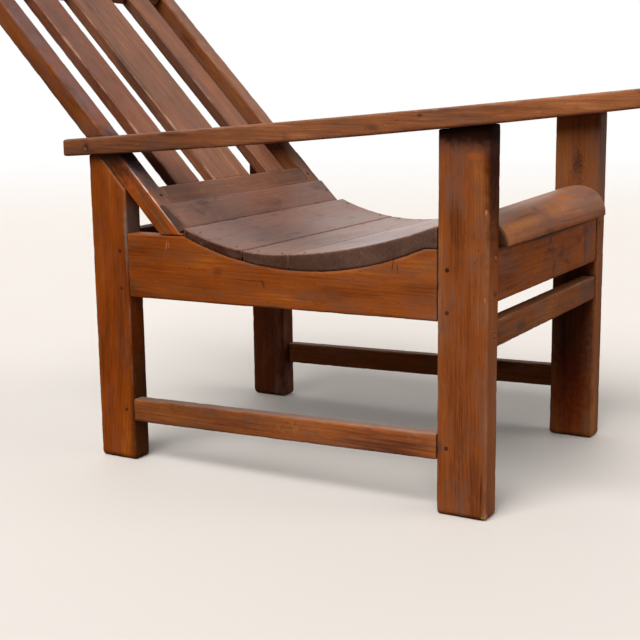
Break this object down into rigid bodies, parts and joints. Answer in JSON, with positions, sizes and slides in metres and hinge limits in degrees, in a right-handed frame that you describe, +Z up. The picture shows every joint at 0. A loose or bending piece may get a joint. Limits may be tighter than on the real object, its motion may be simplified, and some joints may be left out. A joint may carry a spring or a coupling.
{
  "type": "reclining lounge chair",
  "caption": "Low wooden lounge chair with a fixed reclined slat back, a scooped plank seat with a rounded front nose, and long rising arms on square posts with pegged rails.",
  "frame": {"origin": "on the floor, under the middle of the bounding box", "axes": "+Z up, -Y the way the sitter faces, -X the sitter's right hand"},
  "size_m": [0.596, 1.4002, 0.9241],
  "materials": {
    "frame_wood": "worn satin varnish, orange brown",
    "rail_wood": "worn satin varnish, reddish brown",
    "seat_wood": "dull, worn bare, greyish brown",
    "back_wood": "worn satin, reddish brown",
    "arm_wood": "satin, brown, paler on the worn edges",
    "nose_wood": "satin, lighter figured brown",
    "peg_wood": "dull end grain"
  },
  "bodies": {
    "root": {"front_post_right": "frame_wood", "front_post_left": "frame_wood", "rear_post_right": "frame_wood", "rear_post_left": "frame_wood", "side_rail_right": "frame_wood", "side_rail_left": "frame_wood", "side_stretcher_right": "rail_wood", "side_stretcher_left": "rail_wood", "front_rail": "rail_wood", "front_stretcher": "rail_wood", "rear_rail": "rail_wood", "front_roll": "nose_wood", "seat_plank_front": "seat_wood", "seat_plank_middle": "seat_wood", "seat_plank_rear": "seat_wood", "seat_plank_back": "seat_wood", "back_stile_right": "frame_wood", "back_stile_left": "frame_wood", "back_lower_rail": "back_wood", "back_crest_rail": "back_wood", "back_slat_right": "back_wood", "back_slat_middle": "back_wood", "back_slat_left": "back_wood", "arm_right": "arm_wood", "arm_left": "arm_wood", "side_pegs": "peg_wood", "front_pegs": "peg_wood", "rear_pegs": "peg_wood", "back_pegs": "peg_wood", "arm_pegs": "peg_wood", "seat_pegs": "peg_wood"}
  },
  "joints": []
}
